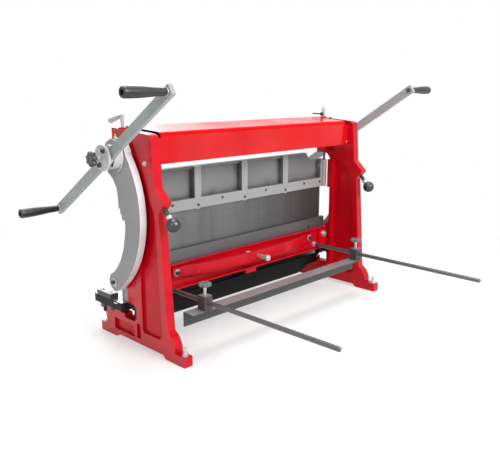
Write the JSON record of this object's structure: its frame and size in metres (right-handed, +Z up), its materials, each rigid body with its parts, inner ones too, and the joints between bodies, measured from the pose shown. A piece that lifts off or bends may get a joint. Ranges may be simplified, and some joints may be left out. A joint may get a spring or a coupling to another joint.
{
  "type": "combination sheet metal machine",
  "caption": "Bench machine that shears, bends and rolls sheet metal: cast end frames, a ribbed ram on eccentric driven links, slip rolls, hand cranks and a back gauge on rods.",
  "frame": {"origin": "on the floor at the middle of the four foot holes", "axes": "+X along the working length to the end without the clutch knob, +Y to the side where sheet is fed in, +Z up"},
  "size_m": [1.1946, 0.8522, 0.6762],
  "materials": {
    "red_paint": "gloss",
    "link_paint": "satin",
    "arm_paint": "satin",
    "ram_paint": "satin",
    "dark_steel": "brushed",
    "blade_steel": "ground",
    "roll_steel": "ground",
    "black_paint": "satin",
    "black_oxide": "satin",
    "zinc": "satin",
    "bronze": "satin",
    "brass": "polished",
    "black_plastic": "matt",
    "knob_plastic": "gloss",
    "ball_steel": "satin"
  },
  "bodies": {
    "base": {"frame_left": "red_paint", "frame_right": "red_paint", "roll_guard": "red_paint", "guard_screws": "zinc", "roll_bushings": "bronze", "bed_beam": "red_paint", "beam_pads": "red_paint", "camber_bar": "red_paint", "camber_screws": "black_oxide", "beam_bolts": "zinc", "table": "black_paint", "lower_blade": "blade_steel", "table_clamps": "black_paint", "clamp_bolts": "black_oxide", "chute": "black_paint", "gauge_rods": "black_oxide", "rod_nuts": "zinc", "guide_rods": "black_oxide", "frame_pins": "zinc", "foot_studs": "zinc", "levelling_screws": "zinc"},
    "crank": {"drive_roll": "roll_steel", "drive_gear": "dark_steel", "eccentrics": "link_paint", "hub_left": "arm_paint", "hub_right": "arm_paint", "hub_screws": "black_oxide", "crank_arms": "arm_paint", "grip_pins": "black_oxide", "grip_washers": "zinc"},
    "grip_left_up": {"grip_left_up": "black_plastic"},
    "grip_left_down": {"grip_left_down": "black_plastic"},
    "grip_right_up": {"grip_right_up": "black_plastic"},
    "grip_right_down": {"grip_right_down": "black_plastic"},
    "clutch": {"clutch_knob": "knob_plastic"},
    "pinch": {"pinch_roll": "roll_steel", "pinch_gear": "dark_steel"},
    "rear": {"rear_roll": "roll_steel"},
    "ram": {"ram_casting": "ram_paint", "ram_plate": "dark_steel", "blade_clamp": "dark_steel", "ram_beam": "ram_paint", "upper_blade": "blade_steel", "punch_clamp": "dark_steel", "punches": "dark_steel", "ram_screws": "black_oxide", "link_left": "link_paint", "link_right": "link_paint", "link_pins": "zinc", "grease_nipples": "brass"},
    "ball_left": {"ball_screw_left": "ball_steel"},
    "ball_right": {"ball_screw_right": "ball_steel"},
    "lever": {"lock_lever": "arm_paint"},
    "tee": {"lock_tee": "zinc"},
    "gauge": {"gauge_bar": "black_paint", "gauge_blocks": "black_paint"},
    "gauge_left": {"gauge_knob_left": "knob_plastic"},
    "gauge_right": {"gauge_knob_right": "knob_plastic"},
    "camber": {"camber_bolt": "zinc"}
  },
  "joints": [
    {"name": "crank_turn", "type": "hinge", "parent": "base", "child": "crank", "pos_m": [0, 0.017, 0.503], "axis": [1, 0, 0], "range_deg": [-40, 40]},
    {"name": "ram_lift", "type": "slide", "parent": "base", "child": "ram", "axis": [0, 0, 1], "range_m": [-0.0145, 0.0145]},
    {"name": "pinch_turn", "type": "hinge", "parent": "base", "child": "pinch", "pos_m": [0, -0.0211, 0.526], "axis": [1, 0, 0], "range_deg": [-40.5, 40.5]},
    {"name": "rear_turn", "type": "hinge", "parent": "base", "child": "rear", "pos_m": [0, 0.06, 0.528], "axis": [1, 0, 0], "continuous": true},
    {"name": "grip_left_up_spin", "type": "hinge", "parent": "crank", "child": "grip_left_up", "pos_m": [-0.54, -0.22731, 0.65924], "axis": [1, 0, 0], "continuous": true},
    {"name": "grip_left_down_spin", "type": "hinge", "parent": "crank", "child": "grip_left_down", "pos_m": [-0.54, 0.26131, 0.34676], "axis": [1, 0, 0], "continuous": true},
    {"name": "grip_right_up_spin", "type": "hinge", "parent": "crank", "child": "grip_right_up", "pos_m": [0.54, -0.22731, 0.65924], "axis": [1, 0, 0], "continuous": true},
    {"name": "grip_right_down_spin", "type": "hinge", "parent": "crank", "child": "grip_right_down", "pos_m": [0.54, 0.26131, 0.34676], "axis": [1, 0, 0], "continuous": true},
    {"name": "clutch_turn", "type": "hinge", "parent": "crank", "child": "clutch", "pos_m": [-0.51, 0.017, 0.503], "axis": [1, 0, 0], "continuous": true},
    {"name": "ball_left_turn", "type": "hinge", "parent": "base", "child": "ball_left", "pos_m": [-0.4078, -0.105, 0.3835], "axis": [0, -0.682, -0.7314], "continuous": true},
    {"name": "ball_right_turn", "type": "hinge", "parent": "base", "child": "ball_right", "pos_m": [0.4078, -0.105, 0.3835], "axis": [0, -0.682, -0.7314], "continuous": true},
    {"name": "lever_turn", "type": "hinge", "parent": "base", "child": "lever", "pos_m": [-0.4078, 0.056, 0.568], "axis": [0, 0, 1], "range_deg": [-100, 100]},
    {"name": "tee_turn", "type": "hinge", "parent": "base", "child": "tee", "pos_m": [0.4078, 0.056, 0.568], "axis": [0, 0, 1], "continuous": true},
    {"name": "gauge_slide", "type": "slide", "parent": "base", "child": "gauge", "axis": [0, 1, 0], "range_m": [-0.39, 0.1]},
    {"name": "gauge_left_turn", "type": "hinge", "parent": "gauge", "child": "gauge_left", "pos_m": [-0.325, -0.152, 0.16], "axis": [0, 0, 1], "continuous": true},
    {"name": "gauge_right_turn", "type": "hinge", "parent": "gauge", "child": "gauge_right", "pos_m": [0.325, -0.152, 0.16], "axis": [0, 0, 1], "continuous": true},
    {"name": "camber_turn", "type": "hinge", "parent": "base", "child": "camber", "pos_m": [0, -0.05, 0.173], "axis": [0, 1, 0], "continuous": true}
  ],
  "couplings": [
    {"joint": "ram_lift", "follows": "crank_turn", "m_per_rad": 0.0206},
    {"joint": "pinch_turn", "follows": "crank_turn", "ratio": -1}
  ]
}
